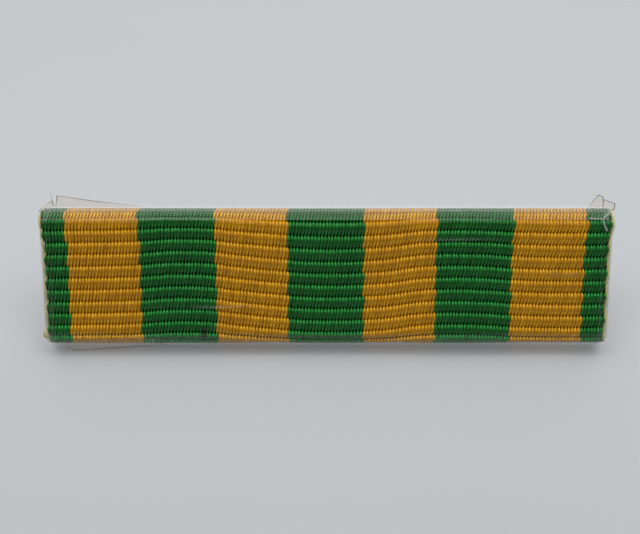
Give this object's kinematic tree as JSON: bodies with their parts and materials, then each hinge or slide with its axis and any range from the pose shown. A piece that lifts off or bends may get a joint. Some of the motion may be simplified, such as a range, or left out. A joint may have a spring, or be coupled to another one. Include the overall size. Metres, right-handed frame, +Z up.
{
  "type": "service ribbon bar",
  "caption": "Striped grosgrain ribbon wrapped over a stiff bar under clear film, with a hinged pin and turning safety catch on its back.",
  "frame": {"origin": "centre of the wrapped bar's back, where it lies against the garment", "axes": "+Z up as worn, +Y out of the back into the garment, +X to the right of someone who looks at the ribbon"},
  "size_m": [0.0376, 0.0063, 0.0104],
  "materials": {
    "bar_metal": "mill-finished aluminium strip with deburred edges",
    "ribbon_weave": "ribbed grosgrain of lustrous green and gold warp over a thick gold weft",
    "adhesive_tape": "thin double-sided tape",
    "clear_film": "clear glossy wrapping film, slightly hazy at its folds",
    "foam_pad": "closed-cell adhesive foam",
    "plated_steel": "satin nickel plate over stamped steel",
    "needle_steel": "polished drawn steel wire"
  },
  "bodies": {
    "bar": {"core_bar": "bar_metal", "ribbon": "ribbon_weave", "tail_tape_upper": "adhesive_tape", "tail_tape_lower": "adhesive_tape", "clear_film": "clear_film", "pin_pad": "foam_pad", "pin_plate": "plated_steel", "hinge_bracket": "plated_steel", "hinge_rivet": "plated_steel", "catch_housing": "plated_steel"},
    "needle": {"pin_needle": "needle_steel"},
    "catch": {"catch_drum": "plated_steel"}
  },
  "joints": [
    {"name": "pin_swing", "type": "hinge", "parent": "bar", "child": "needle", "pos_m": [0.0112, 0.00229, 0], "axis": [0, 0, -1], "range_deg": [0, 110]},
    {"name": "catch_turn", "type": "hinge", "parent": "bar", "child": "catch", "pos_m": [-0.0109, 0.00229, 0], "axis": [1, 0, 0], "range_deg": [0, 110]}
  ]
}
